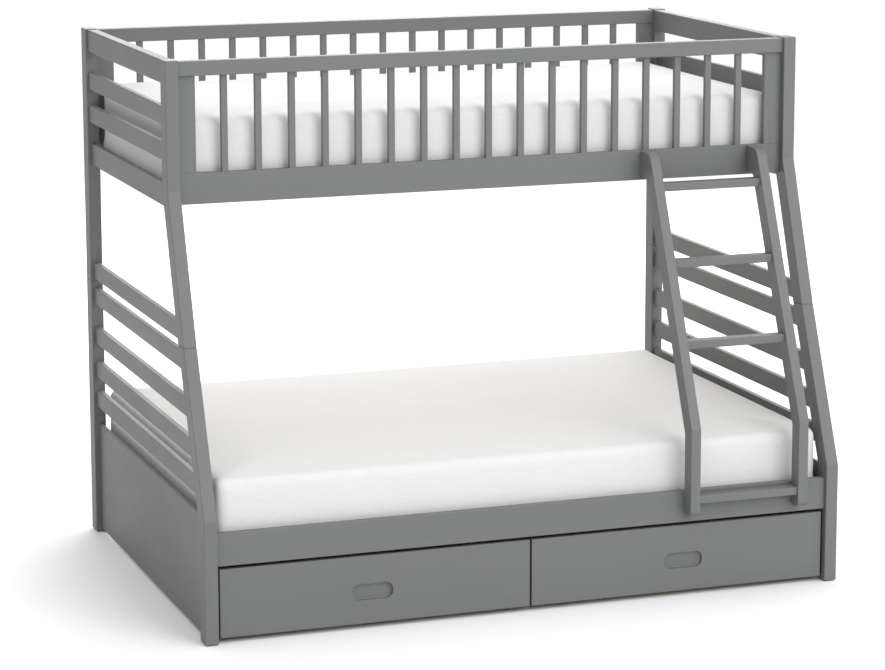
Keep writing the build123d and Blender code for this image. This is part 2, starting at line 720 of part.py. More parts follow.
def axle_pins(front_x):
    """The steel pin that each wheel turns on, pressed in its fork."""
    with BuildPart() as pins:
        for ends in axle_lines(front_x):
            rod(*ends, AXLE_RADIUS)
        chamfer(pins.edges().filter_by(GeomType.CIRCLE), AXLE_CHAMFER)
    return pins


def drawer_wheel(x, forward):
    """One small wheel with a rounded tread and a dished web on each side."""
    half = WHEEL_WIDTH / 2
    with BuildPart() as wheel:
        rod((x - half, at(forward), WHEEL_RADIUS), (x + half, at(forward), WHEEL_RADIUS), WHEEL_RADIUS)
        fillet(wheel.edges().filter_by(GeomType.CIRCLE), 3)
        for face in (-1, 1):
            with BuildSketch(Plane.YZ.offset(x + face * half)):
                with Locations((at(forward), WHEEL_RADIUS)):
                    Circle(WHEEL_RADIUS - 5)
                    Circle(WHEEL_BORE + 3, mode=Mode.SUBTRACT)
            extrude(amount=-face * 4, mode=Mode.SUBTRACT)
        bore = ((x - half, at(forward), WHEEL_RADIUS), (x + half, at(forward), WHEEL_RADIUS))
        rod(*bore, WHEEL_BORE, Mode.SUBTRACT)
    return wheel


# ================================================================ build every piece
os.makedirs("parts", exist_ok=True)

guard_rail_front = upper_span(GUARD_RAIL_INSET, GUARD_RAIL_THICKNESS)
upper_rail_front = upper_span(UPPER_SIDE_RAIL_INSET, UPPER_SIDE_RAIL_THICKNESS)
upper_rail_rear = mirrored(upper_rail_front)
lower_front_face = FRONT_OF_LOWER_BED - LOWER_SIDE_RAIL_INSET
lower_rail_front = (lower_front_face - LOWER_SIDE_RAIL_THICKNESS, lower_front_face)
lower_rail_rear = (LOWER_SIDE_RAIL_INSET, LOWER_SIDE_RAIL_INSET + LOWER_SIDE_RAIL_THICKNESS)

for end_name, end_side in SIDES.items():
    top_rail = end_top_rail(end_side)
    upper_slats = end_boards(end_side, UPPER_END_SLATS_Z, UPPER_END_SLAT_INSET, END_BOARD_THICKNESS)
    upper_rail = end_boards(end_side, [UPPER_END_RAIL_Z], UPPER_END_RAIL_INSET, END_BOARD_THICKNESS)
    joining_slat = end_boards(end_side, [JOINING_SLAT_Z], LOWER_END_SLAT_INSET, END_BOARD_THICKNESS)
    lower_slats = end_boards(end_side, LOWER_END_SLATS_Z, LOWER_END_SLAT_INSET, END_BOARD_THICKNESS)
    panel = end_panel(end_side)
    with BuildPart() as upper_boards:
        add(upper_slats.part)
        add(upper_rail.part)
        add(joining_slat.part)
    upper_housed = (top_rail, upper_boards)
    lower_housed = (lower_slats, panel)
    finish(top_rail, f"{end_name}_end_top_rail")
    finish(upper_boards, f"{end_name}_upper_end_boards")
    finish(lower_slats, f"{end_name}_lower_end_slats")
    finish(panel, f"{end_name}_end_panel")
    finish(front_leg(end_side, True, upper_housed), f"front_{end_name}_upper_leg")
    finish(front_leg(end_side, False, lower_housed), f"front_{end_name}_lower_leg")
    finish(rear_post(end_side, True, upper_housed), f"rear_{end_name}_upper_post")
    finish(rear_post(end_side, False, lower_housed), f"rear_{end_name}_lower_post")

slats = guard_slats((upper_rail_front, upper_rail_rear))
finish(slats, "guard_slats")
finish(guard_stiles((upper_rail_front, upper_rail_rear)), "guard_stiles")
for face_name, rail_span, top_span in (
    ("front", upper_rail_front, guard_rail_front),
    ("rear", upper_rail_rear, mirrored(guard_rail_front)),
):
    with BuildPart() as top_rail:
        add(guard_top_rail(top_span).part)
        add(slats.part, mode=Mode.SUBTRACT)
    with BuildPart() as upper_rail:
        add(side_rail(rail_span, UPPER_SIDE_RAIL_Z, UPPER_BOLTS_Z).part)
        add(slats.part, mode=Mode.SUBTRACT)
        if face_name == "front":
            add(ladder_bolts(rail_span[1]).part, mode=Mode.SUBTRACT)
    finish(top_rail, f"{face_name}_guard_top_rail")
    finish(upper_rail, f"{face_name}_upper_side_rail")

with BuildPart() as front_lower_rail:
    add(side_rail(lower_rail_front, LOWER_SIDE_RAIL_Z, LOWER_BOLTS_Z).part)
    add(ladder_bolts(upper_rail_front[1]).part, mode=Mode.SUBTRACT)
finish(front_lower_rail, "front_lower_side_rail")
finish(side_rail(lower_rail_rear, LOWER_SIDE_RAIL_Z, LOWER_BOLTS_Z), "rear_lower_side_rail")

beds = {
    "upper": (upper_rail_rear, upper_rail_front, UPPER_SLAT_TOP_Z),
    "lower": (lower_rail_rear, lower_rail_front, LOWER_SLAT_TOP_Z),
}
finish(slat_cleats(beds.values()), "slat_cleats")
for bed_name, bed in beds.items():
    finish(bed_slats(*bed), f"{bed_name}_bed_slats")
    finish(mattress(*bed), f"{bed_name}_mattress")

beam_width, beam_height = CENTRE_BEAM
beam_top_z = LOWER_SLAT_TOP_Z - BED_SLAT_THICKNESS
beam_span = (CENTRE_BEAM_PLACE - beam_width / 2, CENTRE_BEAM_PLACE + beam_width / 2)
with BuildPart() as centre_beam:
    beam_x = (-CENTRE_BEAM_LENGTH / 2, CENTRE_BEAM_LENGTH / 2)
    board(beam_x, beam_span, (beam_top_z - beam_height, beam_top_z))
    fillet(centre_beam.edges().filter_by(Axis.X), BOARD_EDGE)
finish(centre_beam, "centre_beam")

with BuildPart() as centre_beam_legs:
    for leg_x in CENTRE_BEAM_LEGS_X:
        leg_span = (leg_x - beam_width / 2, leg_x + beam_width / 2)
        board(leg_span, beam_span, (GLIDE_THICKNESS, beam_top_z - beam_height))
    fillet(centre_beam_legs.edges().filter_by(Axis.Z), BOARD_EDGE)
finish(centre_beam_legs, "centre_beam_legs")

treads = ladder_treads()
finish(treads, "ladder_treads")
finish(ladder_stile(LADDER_STILES_X[0], upper_rail_front[1], treads), "ladder_left_stile")
finish(ladder_stile(LADDER_STILES_X[1], upper_rail_front[1], treads), "ladder_right_stile")

finish(frame_bolts(), "frame_bolts")
finish(barrel_nuts(), "barrel_nuts")
finish(joining_pins(), "joining_pins")
finish(ladder_bolts(upper_rail_front[1]), "ladder_bolts")
finish(slat_screws(beds.values()), "slat_screws")
finish(foot_glides(), "foot_glides")

for drawer_name, drawer_x in zip(("left_drawer", "right_drawer"), DRAWER_FRONT_X):
    bottom = drawer_bottom(drawer_x)
    finish(bottom, f"{drawer_name}_bottom")
    finish(drawer_front(drawer_x, bottom), f"{drawer_name}_front")
    finish(drawer_sides(drawer_x, bottom), f"{drawer_name}_sides")
    finish(drawer_back(drawer_x, bottom), f"{drawer_name}_back")
    finish(caster_forks(drawer_x), f"{drawer_name}_caster_forks")
    finish(axle_pins(drawer_x), f"{drawer_name}_axle_pins")
    for wheel_name, (wheel_x, wheel_forward) in wheel_places(drawer_x).items():
        finish(drawer_wheel(wheel_x, wheel_forward), f"{drawer_name}_{wheel_name}_wheel")
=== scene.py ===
"""Looks of the bunk bed: painted timber, plated hardware, moulded wheels and two covered mattresses."""

import math

import bmesh
import bpy
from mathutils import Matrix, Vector


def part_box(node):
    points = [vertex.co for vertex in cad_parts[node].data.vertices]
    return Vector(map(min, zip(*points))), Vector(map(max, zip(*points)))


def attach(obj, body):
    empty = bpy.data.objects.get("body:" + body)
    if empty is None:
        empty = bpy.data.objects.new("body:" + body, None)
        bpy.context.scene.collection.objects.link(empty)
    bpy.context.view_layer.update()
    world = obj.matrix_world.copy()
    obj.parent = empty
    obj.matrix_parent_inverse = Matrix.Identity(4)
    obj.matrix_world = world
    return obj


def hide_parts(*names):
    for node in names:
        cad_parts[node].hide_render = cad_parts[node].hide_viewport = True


bl_info = {
    "name": "Bunk bed looks",
    "version": (1, 0, 0),
    "blender": (4, 5, 0),
    "location": "View3D > Sidebar > Bunk Bed",
    "description": "Finishes, mattresses, hardware and studio for the packed bunk bed",
    "category": "Object",
}

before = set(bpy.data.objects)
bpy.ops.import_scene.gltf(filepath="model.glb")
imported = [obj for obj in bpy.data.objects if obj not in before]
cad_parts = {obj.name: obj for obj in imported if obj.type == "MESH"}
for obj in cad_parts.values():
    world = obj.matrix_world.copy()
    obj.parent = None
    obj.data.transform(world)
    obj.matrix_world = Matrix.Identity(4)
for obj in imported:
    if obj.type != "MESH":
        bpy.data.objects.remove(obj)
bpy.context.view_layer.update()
MM = 0.001

FLOOR_SIZE = 160  # metres each way, so that its edges are far outside the view
CAMERA_REACH = 200  # metres
BED_MIDDLE = Vector((0, 0, 0.8))  # what the softboxes face
BRIGHT_SIDE = Vector((1, -0.3, 0)).normalized()  # the side from which the sky is stronger
RESTING_BAND = 12 * MM  # the strip at the bottom of a cover that its slats hold still
CLOTH = {  # a firm cover, fitted closely: it hardly stretches, and bends a little
    "quality": 5,
    "mass": 0.3,
    "tension_stiffness": 15,
    "compression_stiffness": 15,
    "shear_stiffness": 5,
    "bending_stiffness": 0.5,
    "use_pressure": True,
}


# ---------------------------------------------------------------- settings
class PaintSettings(bpy.types.PropertyGroup):
    """Sprayed satin lacquer on the frame, the ladder and the drawer fronts."""

    colour: bpy.props.StringProperty(
        name="Colour", description="sRGB hex of the lacquer", default="#6b6d6c"
    )
    shade: bpy.props.StringProperty(
        name="Shade", description="sRGB hex where the coat is a little darker", default="#686a69"
    )
    roughness: bpy.props.FloatProperty(
        name="Roughness", description="Satin, between gloss and matt", default=0.55, min=0, max=1
    )
    peel: bpy.props.FloatProperty(
        name="Orange peel", description="Width of one ripple of the sprayed coat",
        default=3 * MM, unit="LENGTH",
    )
    grain: bpy.props.FloatProperty(
        name="Grain width", description="Width of the timber grain that shows through",
        default=5 * MM, unit="LENGTH",
    )
    grain_run: bpy.props.FloatProperty(
        name="Grain run", description="How far one streak of grain runs along a board",
        default=320 * MM, unit="LENGTH",
    )


class TimberSettings(bpy.types.PropertyGroup):
    """Bare pine and plywood inside the bed and the drawers."""

    pine_light: bpy.props.StringProperty(
        name="Pale pine", description="sRGB hex of the broad early wood", default="#e8deca"
    )
    pine: bpy.props.StringProperty(
        name="Pine", description="sRGB hex between early and late wood", default="#e0d2b7"
    )
    pine_dark: bpy.props.StringProperty(
        name="Dark pine", description="sRGB hex of the thin late wood", default="#cdb893"
    )
    birch_light: bpy.props.StringProperty(
        name="Pale birch", description="sRGB hex of the plywood's palest figure", default="#ecd9b6"
    )
    birch: bpy.props.StringProperty(
        name="Birch", description="sRGB hex of most of the plywood", default="#e2ca9f"
    )
    birch_dark: bpy.props.StringProperty(
        name="Dark birch", description="sRGB hex of the plywood's darkest figure", default="#cfae7c"
    )


class HardwareSettings(bpy.types.PropertyGroup):
    """Zinc plate, and the heads and shanks of the connector bolts."""

    plate_dark: bpy.props.StringProperty(
        name="Dark plate", description="sRGB hex of the darker clouds in the plate", default="#8d9090"
    )
    plate_light: bpy.props.StringProperty(
        name="Pale plate", description="sRGB hex of the paler clouds in the plate", default="#9b9d9b"
    )
    head: bpy.props.FloatProperty(
        name="Head", description="Thickness of a bolt's head", default=3.5 * MM, unit="LENGTH"
    )
    rounding: bpy.props.FloatProperty(
        name="Rounding", description="Rounding of the rim of the head", default=0.8 * MM, unit="LENGTH"
    )
    socket: bpy.props.FloatProperty(
        name="Socket", description="Corner radius of the six-sided socket, for a 5 mm key",
        default=2.9 * MM, unit="LENGTH",
    )
    socket_depth: bpy.props.FloatProperty(
        name="Socket depth", description="How deep the socket is", default=2.4 * MM, unit="LENGTH"
    )
    shank: bpy.props.FloatProperty(
        name="Shank", description="Radius of the shank", default=3 * MM, unit="LENGTH"
    )


class PlasticSettings(bpy.types.PropertyGroup):
    """Moulded wheels, caster forks and foot glides: two close colours each."""

    wheel_dark: bpy.props.StringProperty(
        name="Wheel, dark", description="sRGB hex of the wheels' darker specks", default="#2b2c2d"
    )
    wheel_light: bpy.props.StringProperty(
        name="Wheel, light", description="sRGB hex of the wheels' lighter specks", default="#343536"
    )
    fork_dark: bpy.props.StringProperty(
        name="Fork, dark", description="sRGB hex of the forks' darker specks", default="#1d1e1f"
    )
    fork_light: bpy.props.StringProperty(
        name="Fork, light", description="sRGB hex of the forks' lighter specks", default="#262728"
    )
    glide_dark: bpy.props.StringProperty(
        name="Glide, dark", description="sRGB hex of the glides' darker specks", default="#8b8c8a"
    )
    glide_light: bpy.props.StringProperty(
        name="Glide, light", description="sRGB hex of the glides' lighter specks", default="#949592"
    )


class MattressSettings(bpy.types.PropertyGroup):
    """Foam mattresses in a smooth fitted cover."""

    edge: bpy.props.FloatProperty(
        name="Edge radius", description="Roundness of the corners and the upper edges before swelling",
        default=30 * MM, unit="LENGTH",
    )
    inset: bpy.props.FloatProperty(
        name="Inset", description="How much smaller the pad starts, because the pressure swells it",
        default=3 * MM, unit="LENGTH",
    )
    cell: bpy.props.FloatProperty(
        name="Cell", description="Size of a cell of the simulated cloth", default=16 * MM, unit="LENGTH"
    )
    pressure: bpy.props.FloatProperty(
        name="Pressure", description="How firmly the filling pushes on the cover", default=4.0
    )
    swell: bpy.props.FloatProperty(
        name="Swell", description="The furthest a point of the cover may move", default=9 * MM,
        unit="LENGTH",
    )
    frames: bpy.props.IntProperty(name="Frames", description="Frames of simulation", default=20)
    thread: bpy.props.FloatProperty(
        name="Thread spacing", description="Drawn far coarser than real percale, so that it shows",
        default=1.6 * MM, unit="LENGTH",
    )
    colour: bpy.props.StringProperty(
        name="Colour", description="sRGB hex of the cover", default="#d6d6d6"
    )
    shade: bpy.props.StringProperty(
        name="Shade", description="sRGB hex where the yarn is a little thinner", default="#d0d0d0"
    )


class StageSettings(bpy.types.PropertyGroup):
    """Camera, light and floor."""

    camera: bpy.props.FloatVectorProperty(
        name="Camera", description="Where the camera stands", default=(-3.2183, -8.9372, 2.6209),
        subtype="TRANSLATION", unit="LENGTH",
    )
    azimuth: bpy.props.FloatProperty(
        name="Azimuth", description="Turn of the view round the bed",
        default=math.radians(-20.203), subtype="ANGLE",
    )
    elevation: bpy.props.FloatProperty(
        name="Elevation", description="Height of the view above level",
        default=math.radians(10.403), subtype="ANGLE",
    )
    lens: bpy.props.FloatProperty(name="Lens", description="Focal length in mm", default=124.727)
    shift: bpy.props.FloatVectorProperty(
        name="Shift", description="Shift of the frame, in frame widths", default=(-0.0367, -0.0562),
        size=2,
    )
    horizon: bpy.props.FloatProperty(
        name="Horizon", description="Strength of the sky at eye level on the left", default=0.13
    )
    bias: bpy.props.FloatProperty(
        name="Bias", description="How much stronger the sky is on the right than on the left",
        default=0.6,
    )
    overhead: bpy.props.FloatProperty(
        name="Overhead", description="Strength of the sky straight above, without the bias",
        default=1.18,
    )
    key_place: bpy.props.FloatVectorProperty(
        name="Key light", description="Where the softbox in front of the bed stands",
        default=(3.2, -9.0, 5.6), subtype="TRANSLATION", unit="LENGTH",
    )
    key_size: bpy.props.FloatProperty(
        name="Key size", description="Side of the softbox in front", default=6.0, unit="LENGTH"
    )
    key_power: bpy.props.FloatProperty(
        name="Key power", description="Power of the softbox in front, in watts", default=455
    )
    back_place: bpy.props.FloatVectorProperty(
        name="Back light", description="Where the softbox behind the bed stands",
        default=(1.5, 6.0, 4.2), subtype="TRANSLATION", unit="LENGTH",
    )
    back_size: bpy.props.FloatProperty(
        name="Back size", description="Side of the softbox behind", default=5.0, unit="LENGTH"
    )
    back_power: bpy.props.FloatProperty(
        name="Back power", description="Power of the softbox behind, in watts", default=340
    )
    floor_colour: bpy.props.StringProperty(
        name="Floor colour", description="sRGB hex of the floor", default="#f2f2f2"
    )


# ---------------------------------------------------------------- colour and nodes
def linear(hex_colour):
    """Linear RGBA of an sRGB hex colour."""
    values = [int(hex_colour[i:i + 2], 16) / 255 for i in (1, 3, 5)]
    return tuple(v / 12.92 if v <= 0.04045 else ((v + 0.055) / 1.055) ** 2.4 for v in values) + (1.0,)


def set_inputs(tree, node, inputs):
    """Give each socket, by its name or number, a value or a link from another node's socket."""
    for socket, value in inputs.items():
        if isinstance(value, bpy.types.NodeSocket):
            tree.links.new(value, node.inputs[socket])
        else:
            node.inputs[socket].default_value = value


def add_node(tree, kind, inputs=None, **settings):
    """Add a node with its settings, its values and its links."""
    node = tree.nodes.new(kind)
    for name, value in settings.items():
        setattr(node, name, value)
    set_inputs(tree, node, inputs or {})
    return node


def new_material(name):
    """A new node material, its node tree and its Principled shader."""
    material = bpy.data.materials.new(name)
    material.use_nodes = True
    return material, material.node_tree, material.node_tree.nodes["Principled BSDF"]


def stretched(tree, axis, across, along):
    """Object coordinates counted in cells: `along` metres long on one axis, `across` on the others."""
    place = add_node(tree, "ShaderNodeTexCoord")
    scale = [1 / across] * 3
    scale["XYZ".index(axis)] = 1 / along
    sockets = {"Vector": place.outputs["Object"], "Scale": scale}
    return add_node(tree, "ShaderNodeMapping", sockets).outputs["Vector"]


def ramp(tree, factor, stops):
    """A colour ramp from (position, hex) stops."""
    node = add_node(tree, "ShaderNodeValToRGB", {"Fac": factor})
    elements = node.color_ramp.elements
    while len(elements) < len(stops):
        elements.new(0.5)
    for element, (position, colour) in zip(elements, stops):
        element.position = position
        element.color = linear(colour)
    return node.outputs["Color"]


# ---------------------------------------------------------------- materials
def sprayed_lacquer(axis):
    """Grey satin lacquer sprayed on timber: a soft sheen, faint orange peel, grain just telegraphing."""
    paint = bpy.context.scene.bunk_paint
    material, tree, shader = new_material(f"grey_satin_lacquer_{axis}")
    grain = add_node(tree, "ShaderNodeTexNoise", {
        "Vector": stretched(tree, axis, paint.grain, paint.grain_run),
        "Scale": 1.0, "Detail": 4.0, "Roughness": 0.55, "Distortion": 0.3,
    })
    peel = add_node(tree, "ShaderNodeTexNoise", {
        "Vector": stretched(tree, axis, paint.peel, paint.peel),
        "Scale": 1.0, "Detail": 2.0, "Roughness": 0.5,
    })
    drift = add_node(tree, "ShaderNodeTexNoise", {
        "Vector": stretched(tree, axis, 180 * MM, 500 * MM),
        "Scale": 1.0, "Detail": 3.0, "Roughness": 0.6,
    })
    blend = add_node(tree, "ShaderNodeMath", {0: grain.outputs["Fac"], 1: drift.outputs["Fac"]},
                     operation="MULTIPLY")
    colour = ramp(tree, blend.outputs[0], ((0.12, paint.shade), (0.42, paint.colour)))
    rough = add_node(tree, "ShaderNodeMapRange", {
        "Value": drift.outputs["Fac"], "From Min": 0.3, "From Max": 0.7,
        "To Min": paint.roughness - 0.05, "To Max": paint.roughness + 0.06,
    })
    grain_bump = add_node(tree, "ShaderNodeBump", {
        "Strength": 0.35, "Distance": 0.12 * MM, "Height": grain.outputs["Fac"],
    })
    peel_bump = add_node(tree, "ShaderNodeBump", {
        "Strength": 0.25, "Distance": 0.05 * MM, "Height": peel.outputs["Fac"],
        "Normal": grain_bump.outputs["Normal"],
    })
    set_inputs(tree, shader, {
        "Base Color": colour, "Roughness": rough.outputs[0], "IOR": 1.45,
        "Normal": peel_bump.outputs["Normal"],
    })
    return material


def planed_pine(axis):
    """Bare planed pine: straw-coloured early wood with thin darker late-wood lines and a dull sheen."""
    timber = bpy.context.scene.bunk_timber
    material, tree, shader = new_material(f"planed_pine_{axis}")
    cells = stretched(tree, axis, 26 * MM, 600 * MM)
    warp = add_node(tree, "ShaderNodeTexNoise", {
        "Vector": cells, "Scale": 1.0, "Detail": 3.0, "Roughness": 0.5,
    })
    # nine folds of the slow noise make the lines of the yearly rings
    rings = add_node(tree, "ShaderNodeMath", {0: warp.outputs["Fac"], 1: 9.0}, operation="MULTIPLY")
    ring = add_node(tree, "ShaderNodeMath", {0: rings.outputs[0], 1: 1.0}, operation="PINGPONG")
    pores = add_node(tree, "ShaderNodeTexNoise", {
        "Vector": stretched(tree, axis, 1.2 * MM, 60 * MM), "Scale": 1.0, "Detail": 2.0,
    })
    mix = add_node(tree, "ShaderNodeMath", {0: pores.outputs["Fac"], 1: 0.25, 2: ring.outputs[0]},
                   operation="MULTIPLY_ADD")
    colour = ramp(tree, mix.outputs[0],
                  ((0.15, timber.pine_light), (0.7, timber.pine), (1.0, timber.pine_dark)))
    bump = add_node(tree, "ShaderNodeBump", {
        "Strength": 0.4, "Distance": 0.15 * MM, "Height": mix.outputs[0],
    })
    set_inputs(tree, shader, {
        "Base Color": colour, "Roughness": 0.62, "Normal": bump.outputs["Normal"],
    })
    return material


def birch_plywood():
    """Sanded birch plywood: pale, broad soft figure, fine flecks."""
    timber = bpy.context.scene.bunk_timber
    material, tree, shader = new_material("birch_plywood")
    figure = add_node(tree, "ShaderNodeTexNoise", {
        "Vector": stretched(tree, "X", 60 * MM, 500 * MM), "Scale": 1.0, "Detail": 5.0,
        "Distortion": 1.2,
    })
    fleck = add_node(tree, "ShaderNodeTexNoise", {
        "Vector": stretched(tree, "X", 1.5 * MM, 9 * MM), "Scale": 1.0, "Detail": 1.0,
    })
    mix = add_node(tree, "ShaderNodeMath",
                   {0: fleck.outputs["Fac"], 1: 0.2, 2: figure.outputs["Fac"]},
                   operation="MULTIPLY_ADD")
    colour = ramp(tree, mix.outputs[0],
                  ((0.35, timber.birch_light), (0.6, timber.birch), (0.85, timber.birch_dark)))
    bump = add_node(tree, "ShaderNodeBump", {
        "Strength": 0.3, "Distance": 0.08 * MM, "Height": fleck.outputs["Fac"],
    })
    set_inputs(tree, shader, {
        "Base Color": colour, "Roughness": 0.58, "Normal": bump.outputs["Normal"],
    })
    return material


def zinc_plated_steel():
    """Dull grey zinc plate on turned steel: a cloudy metal with a broad, blurred reflection."""
    plate = bpy.context.scene.bunk_hardware
    material, tree, shader = new_material("zinc_plated_steel")
    cloud = add_node(tree, "ShaderNodeTexNoise", {
        "Vector": stretched(tree, "X", 4 * MM, 4 * MM), "Scale": 1.0, "Detail": 4.0,
    })
    colour = ramp(tree, cloud.outputs["Fac"], ((0.3, plate.plate_dark), (0.7, plate.plate_light)))
    rough = add_node(tree, "ShaderNodeMapRange", {
        "Value": cloud.outputs["Fac"], "To Min": 0.38, "To Max": 0.52,
    })
    set_inputs(tree, shader, {
        "Base Color": colour, "Roughness": rough.outputs[0], "Metallic": 1.0,
    })
    return material


def moulded_plastic(name, dark, light, roughness, grit):
    """Injection-moulded plastic: an even colour with the fine spark-eroded texture of its mould."""
    material, tree, shader = new_material(name)
    # a real mould's texture is near 0.1 mm; the grit is drawn several times coarser, so that it shows
    texture = add_node(tree, "ShaderNodeTexNoise", {
        "Vector": stretched(tree, "X", grit, grit), "Scale": 1.0, "Detail": 2.0,
    })
    colour = ramp(tree, texture.outputs["Fac"], ((0.3, dark), (0.7, light)))
    bump = add_node(tree, "ShaderNodeBump", {
        "Strength": 0.4, "Distance": 0.04 * MM, "Height": texture.outputs["Fac"],
    })
    set_inputs(tree, shader, {
        "Base Color": colour, "Roughness": roughness, "IOR": 1.49, "Normal": bump.outputs["Normal"],
    })
    return material


def white_percale():
    """Closely woven white cotton: matt, a faint fuzz of sheen, soft shallow creases and a fine weave."""
    cover = bpy.context.scene.bunk_mattress
    material, tree, shader = new_material("white_percale")
    place = add_node(tree, "ShaderNodeTexCoord").outputs["Object"]
    threads = []
    # a wave texture turns 20 radians a metre at scale 1, so this scale draws one wave to a thread
    for direction in ("X", "Y", "Z"):
        threads.append(add_node(tree, "ShaderNodeTexWave", {
            "Vector": place, "Scale": 2 * math.pi / (20 * cover.thread), "Distortion": 0.0,
        }, wave_type="BANDS", bands_direction=direction, wave_profile="SIN").outputs["Fac"])
    warp = add_node(tree, "ShaderNodeMath", {0: threads[0], 1: threads[1]}, operation="ADD")
    weave = add_node(tree, "ShaderNodeMath", {0: warp.outputs[0], 1: threads[2]}, operation="ADD")
    crease = add_node(tree, "ShaderNodeTexNoise", {
        "Vector": stretched(tree, "X", 110 * MM, 300 * MM),
        "Scale": 1.0, "Detail": 4.0, "Roughness": 0.45, "Distortion": 0.8,
    })
    slub = add_node(tree, "ShaderNodeTexNoise", {
        "Vector": stretched(tree, "X", 2.5 * MM, 30 * MM), "Scale": 1.0, "Detail": 2.0,
    })
    colour = ramp(tree, slub.outputs["Fac"], ((0.25, cover.shade), (0.65, cover.colour)))
    crease_bump = add_node(tree, "ShaderNodeBump", {
        "Strength": 0.5, "Distance": 2.5 * MM, "Height": crease.outputs["Fac"],
    })
    weave_bump = add_node(tree, "ShaderNodeBump", {
        "Strength": 0.25, "Distance": 0.1 * MM, "Height": weave.outputs[0],
        "Normal": crease_bump.outputs["Normal"],
    })
    set_inputs(tree, shader, {
        "Base Color": colour, "Roughness": 0.88, "IOR": 1.46, "Specular IOR Level": 0.25,
        "Sheen Weight": 0.25, "Sheen Roughness": 0.5, "Normal": weave_bump.outputs["Normal"],
    })
    return material


# ---------------------------------------------------------------- helpers for modelling
def nothing_selected():
    """Leave object mode and deselect everything."""
    if bpy.context.object and bpy.context.object.mode != "OBJECT":
        bpy.ops.object.mode_set(mode="OBJECT")
    bpy.ops.object.select_all(action="DESELECT")


def only(piece):
    """Select and activate one object."""
    nothing_selected()
    piece.select_set(True)
    bpy.context.view_layer.objects.active = piece


def give(piece, material):
    """Dress every face of a piece in one material."""
    piece.data.materials.clear()
    piece.data.materials.append(material)
    for face in piece.data.polygons:
        face.material_index = 0


def dress(names, material):
    """Dress CAD nodes in one material."""
    for name in names:
        give(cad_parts[name], material)


def nodes_ending(*endings):
    """Names of the CAD nodes that end in one of these words."""
    return sorted(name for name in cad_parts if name.endswith(endings))


def solid_boxes(node):
    """Lowest and highest corner of each separate solid of a CAD node."""
    shape = bmesh.new()
    shape.from_mesh(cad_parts[node].data)
    bmesh.ops.remove_doubles(shape, verts=shape.verts, dist=0.01 * MM)
    unseen = set(shape.verts)
    boxes = []
    while unseen:
        points, waiting = [], [unseen.pop()]
        while waiting:
            vertex = waiting.pop()
            points.append(vertex.co.copy())
            for edge in vertex.link_edges:
                neighbour = edge.other_vert(vertex)
                if neighbour in unseen:
                    unseen.remove(neighbour)
                    waiting.append(neighbour)
        low = Vector(min(point[i] for point in points) for i in range(3))
        high = Vector(max(point[i] for point in points) for i in range(3))
        boxes.append((low, high))
    shape.free()
    return sorted(boxes, key=lambda box: tuple(round(value, 5) for value in box[0]))


# ---------------------------------------------------------------- mattresses
def mattress(node, material):
    """A foam block swollen by its filling under a fitted cover, flat where it rests or is hemmed in."""
    cover = bpy.context.scene.bunk_mattress
    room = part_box(node)
    inset = Vector((cover.inset,) * 3)
    low, high = room[0] + inset, room[1] - inset
    low.z -= cover.inset  # the bottom starts on the slats
    nothing_selected()
    bpy.ops.mesh.primitive_cube_add(size=1, location=(low + high) / 2, scale=high - low)
    piece = bpy.context.object
    piece.name = f"{node}_cover"
    bpy.ops.object.transform_apply(location=True, rotation=True, scale=True)
    bpy.ops.object.mode_set(mode="EDIT")
    bpy.ops.mesh.select_mode(type="EDGE")
    bpy.ops.mesh.select_all(action="DESELECT")
    shape = bmesh.from_edit_mesh(piece.data)
    for edge in shape.edges:
        edge.select = max(vertex.co.z for vertex in edge.verts) > low.z + MM  # all but the bottom ones
    bmesh.update_edit_mesh(piece.data)
    bpy.ops.mesh.bevel(offset=cover.edge, segments=5, profile=0.5, affect="EDGES")
    bpy.ops.object.mode_set(mode="OBJECT")
    piece.data.remesh_voxel_size = cover.cell
    bpy.ops.object.voxel_remesh()
    swell(piece, low.z, room)
    grow = piece.modifiers.new("Smooth cover", "SUBSURF")
    grow.levels = grow.render_levels = 1
    bpy.ops.object.modifier_apply(modifier=grow.name)
    bpy.ops.object.shade_smooth()
    give(piece, material)
    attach(piece, "bed")
    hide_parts(node)


def swell(piece, bottom, room):
    """Let the filling press the cover out, then keep each point near its start and inside the room."""
    cover = bpy.context.scene.bunk_mattress
    start = [vertex.co.copy() for vertex in piece.data.vertices]
    held = piece.vertex_groups.new(name="resting")
    held.add([i for i, point in enumerate(start) if point.z < bottom + RESTING_BAND], 1.0, "REPLACE")
    cloth = piece.modifiers.new("Cover", "CLOTH")
    for name, value in CLOTH.items():
        setattr(cloth.settings, name, value)
    cloth.settings.uniform_pressure_force = cover.pressure
    cloth.settings.vertex_group_mass = held.name
    cloth.settings.effector_weights.gravity = 0
    cloth.collision_settings.use_collision = False
    cloth.point_cache.frame_start = 1
    cloth.point_cache.frame_end = cover.frames
    for frame_number in range(1, cover.frames + 1):
        bpy.context.scene.frame_set(frame_number)
    only(piece)
    bpy.ops.object.modifier_apply(modifier=cloth.name)
    bpy.context.scene.frame_set(1)
    for vertex, place in zip(piece.data.vertices, start):
        move = vertex.co - place
        if move.length > cover.swell:
            vertex.co = place + move * (cover.swell / move.length)
        for axis in (0, 1):
            vertex.co[axis] = min(max(vertex.co[axis], room[0][axis]), room[1][axis])


# ---------------------------------------------------------------- bolts
def rod(sides, radius, length, centre):
    """Add a cylinder that lies along X, with its place in its mesh."""
    nothing_selected()
    bpy.ops.mesh.primitive_cylinder_add(
        vertices=sides, radius=radius, depth=length, rotation=(0, math.pi / 2, 0), location=centre
    )
    bpy.ops.object.transform_apply(location=True, rotation=True, scale=True)
    return bpy.context.object


